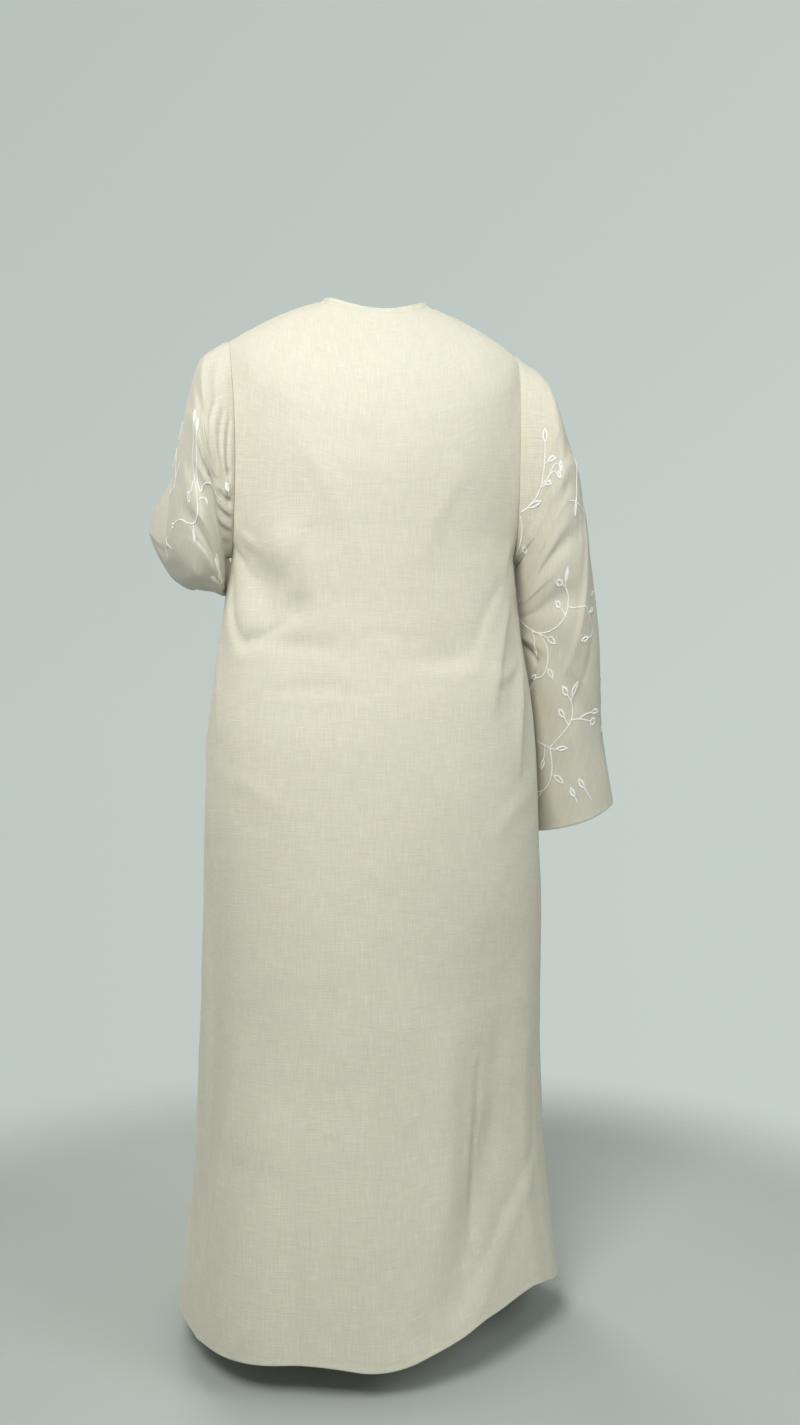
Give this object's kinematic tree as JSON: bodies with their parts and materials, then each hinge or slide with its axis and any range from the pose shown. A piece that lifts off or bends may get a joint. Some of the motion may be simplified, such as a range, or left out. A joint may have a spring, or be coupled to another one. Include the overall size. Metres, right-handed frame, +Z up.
{
  "type": "abaya cloak",
  "caption": "Long open-front abaya cloak in linen-look cloth with wide sleeves, empty and held in its worn shape, one arm hanging and one bent forward.",
  "frame": {"origin": "midway between the two points where the shoulder seams meet the neck, on the line that rests on the wearer's shoulders", "axes": "+Z up along the garment's length, -Y out of the garment's front, +X to the wearer's left"},
  "size_m": [0.684, 0.5394, 1.3794],
  "materials": {
    "linen_body": "matte oatmeal plain weave with slubs",
    "linen_sleeve": "matte oatmeal plain weave with slubs, white vine embroidery",
    "linen_trim": "matte oatmeal plain weave, bound edge"
  },
  "bodies": {
    "root": {"back": "linen_body", "front_left": "linen_body", "front_right": "linen_body", "sleeve_left": "linen_sleeve", "sleeve_right": "linen_sleeve", "neck_binding": "linen_trim"}
  },
  "joints": []
}
